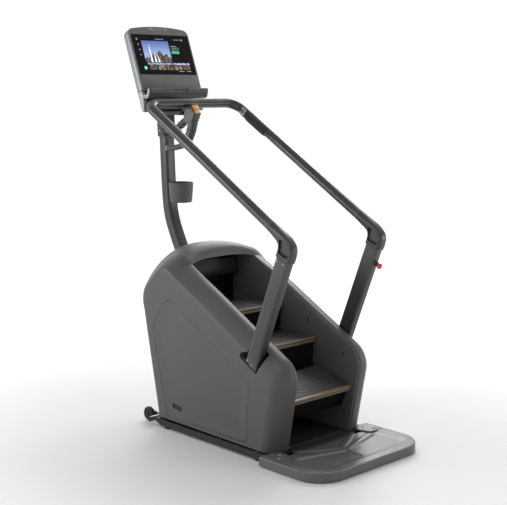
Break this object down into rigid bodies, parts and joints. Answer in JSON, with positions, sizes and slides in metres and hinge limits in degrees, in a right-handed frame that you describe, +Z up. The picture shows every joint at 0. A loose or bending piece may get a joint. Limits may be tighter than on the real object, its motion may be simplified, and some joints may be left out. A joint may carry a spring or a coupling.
{
  "type": "stair climber",
  "caption": "Stair climbing machine with a revolving staircase between covered sides, sloping handrails, a mast, a display console and an entry platform.",
  "frame": {"origin": "centre of the footprint's bounding box, on the floor", "axes": "+Z up; +Y from the entry platform towards the console; +X to the user's right when they face the console"},
  "size_m": [0.784, 1.6721, 2.119],
  "materials": {
    "cover": "satin moulded plastic",
    "dark_cover": "fine textured black plastic",
    "rail_paint": "satin powder coat",
    "frame_steel": "powder coat",
    "tread": "ribbed plastic",
    "nosing": "tan edge strip",
    "rubber": "matt",
    "platform": "textured plastic",
    "silver": "satin",
    "steel": "machined",
    "orange": "gloss",
    "red": "gloss",
    "console": "satin",
    "glass": "opaque black display front",
    "sensor": "satin"
  },
  "bodies": {
    "machine": {"access_panel_left": "cover", "access_panel_right": "cover", "base_frame": "rail_paint", "brake_unit": "frame_steel", "centre_grip": "rail_paint", "console_back": "console", "console_bezel": "console", "console_tray": "console", "control_head": "dark_cover", "cup_holder": "console", "display_glass": "glass", "drive_belt": "rubber", "drive_frame": "frame_steel", "elbow_left": "rail_paint", "elbow_right": "rail_paint", "entry_platform": "platform", "estop_housing": "dark_cover", "grip_sleeve_left": "rubber", "grip_sleeve_right": "rubber", "handrail_left": "rail_paint", "handrail_right": "rail_paint", "hood": "cover", "inner_wall_left": "dark_cover", "inner_wall_right": "dark_cover", "lower_bearing_left": "steel", "lower_bearing_right": "steel", "mast": "rail_paint", "mast_head": "dark_cover", "post_left": "rail_paint", "post_right": "rail_paint", "pulse_sensor_left": "sensor", "pulse_sensor_right": "sensor", "rear_cover": "cover", "rear_stabilizer": "silver", "shoulder_cover_left": "cover", "shoulder_cover_right": "cover", "side_panel_left": "cover", "side_panel_right": "cover", "step_chain_left": "frame_steel", "step_chain_right": "frame_steel", "upper_bearing_left": "steel", "upper_bearing_right": "steel"},
    "upper_shaft": {"upper_shaft": "steel", "drive_pulley": "steel"},
    "lower_shaft": {"lower_shaft": "steel"},
    "brake_rotor": {"brake_rotor": "steel"},
    "step_1": {"step_1": "tread", "nosing_1": "nosing"},
    "step_2": {"step_2": "tread", "nosing_2": "nosing"},
    "step_3": {"step_3": "tread", "nosing_3": "nosing"},
    "step_4": {"step_4": "tread"},
    "step_5": {"step_5": "tread"},
    "step_6": {"step_6": "tread"},
    "left_wheel": {"transport_wheel_left": "rubber"},
    "right_wheel": {"transport_wheel_right": "rubber"},
    "speed_up_key": {"speed_up_key": "orange"},
    "speed_down_key": {"speed_down_key": "orange"},
    "estop_button": {"estop_button": "red"}
  },
  "joints": [
    {"name": "stair_drive", "type": "hinge", "parent": "machine", "child": "upper_shaft", "pos_m": [0, 0.25079, 0.53248], "axis": [1, 0, 0], "range_deg": [-17.8, 47.7]},
    {"name": "lower_shaft_spin", "type": "hinge", "parent": "machine", "child": "lower_shaft", "pos_m": [0, -0.231, 0.2407], "axis": [1, 0, 0], "range_deg": [-17.9, 47.8]},
    {"name": "step_1_swing", "type": "hinge", "parent": "machine", "child": "step_1", "pos_m": [0, -0.231, 0.2407], "axis": [1, 0, 0], "range_deg": [-17.9, 47.8]},
    {"name": "step_2_travel", "type": "slide", "parent": "machine", "child": "step_2", "axis": [0, -0.8554, -0.518], "range_m": [-0.02806, 0.07503]},
    {"name": "step_3_travel", "type": "slide", "parent": "machine", "child": "step_3", "axis": [0, -0.8554, -0.518], "range_m": [-0.02806, 0.07503]},
    {"name": "step_4_swing", "type": "hinge", "parent": "machine", "child": "step_4", "pos_m": [0, 0.25079, 0.53248], "axis": [1, 0, 0], "range_deg": [-17.9, 47.8]},
    {"name": "step_5_travel", "type": "slide", "parent": "machine", "child": "step_5", "axis": [0, 0.8554, 0.518], "range_m": [-0.02806, 0.07503]},
    {"name": "step_6_travel", "type": "slide", "parent": "machine", "child": "step_6", "axis": [0, 0.8554, 0.518], "range_m": [-0.02806, 0.07503]},
    {"name": "brake_spin", "type": "hinge", "parent": "machine", "child": "brake_rotor", "pos_m": [0, 0.314, 0.17], "axis": [1, 0, 0], "range_deg": [-85, 220]},
    {"name": "left_wheel_spin", "type": "hinge", "parent": "machine", "child": "left_wheel", "pos_m": [-0.313, 0.5, 0.0402], "axis": [1, 0, 0], "continuous": true},
    {"name": "right_wheel_spin", "type": "hinge", "parent": "machine", "child": "right_wheel", "pos_m": [0.313, 0.5, 0.0402], "axis": [1, 0, 0], "continuous": true},
    {"name": "speed_up_press", "type": "slide", "parent": "machine", "child": "speed_up_key", "axis": [0, 0.8321, -0.5547], "range_m": [0, 0.003], "stiffness_N_per_m": 500, "springref_m": -0.001},
    {"name": "speed_down_press", "type": "slide", "parent": "machine", "child": "speed_down_key", "axis": [0, 0.8321, -0.5547], "range_m": [0, 0.003], "stiffness_N_per_m": 500, "springref_m": -0.001},
    {"name": "estop_press", "type": "slide", "parent": "machine", "child": "estop_button", "axis": [0, 0.9379, 0.3469], "range_m": [0, 0.005], "stiffness_N_per_m": 600, "springref_m": -0.002}
  ],
  "couplings": [
    {"joint": "lower_shaft_spin", "follows": "stair_drive", "ratio": 1},
    {"joint": "step_1_swing", "follows": "stair_drive", "ratio": 1},
    {"joint": "step_2_travel", "follows": "stair_drive", "m_per_rad": 0.09},
    {"joint": "step_3_travel", "follows": "stair_drive", "m_per_rad": 0.09},
    {"joint": "step_4_swing", "follows": "stair_drive", "ratio": 1},
    {"joint": "step_5_travel", "follows": "stair_drive", "m_per_rad": 0.09},
    {"joint": "step_6_travel", "follows": "stair_drive", "m_per_rad": 0.09},
    {"joint": "brake_spin", "follows": "stair_drive", "ratio": 4.5}
  ]
}
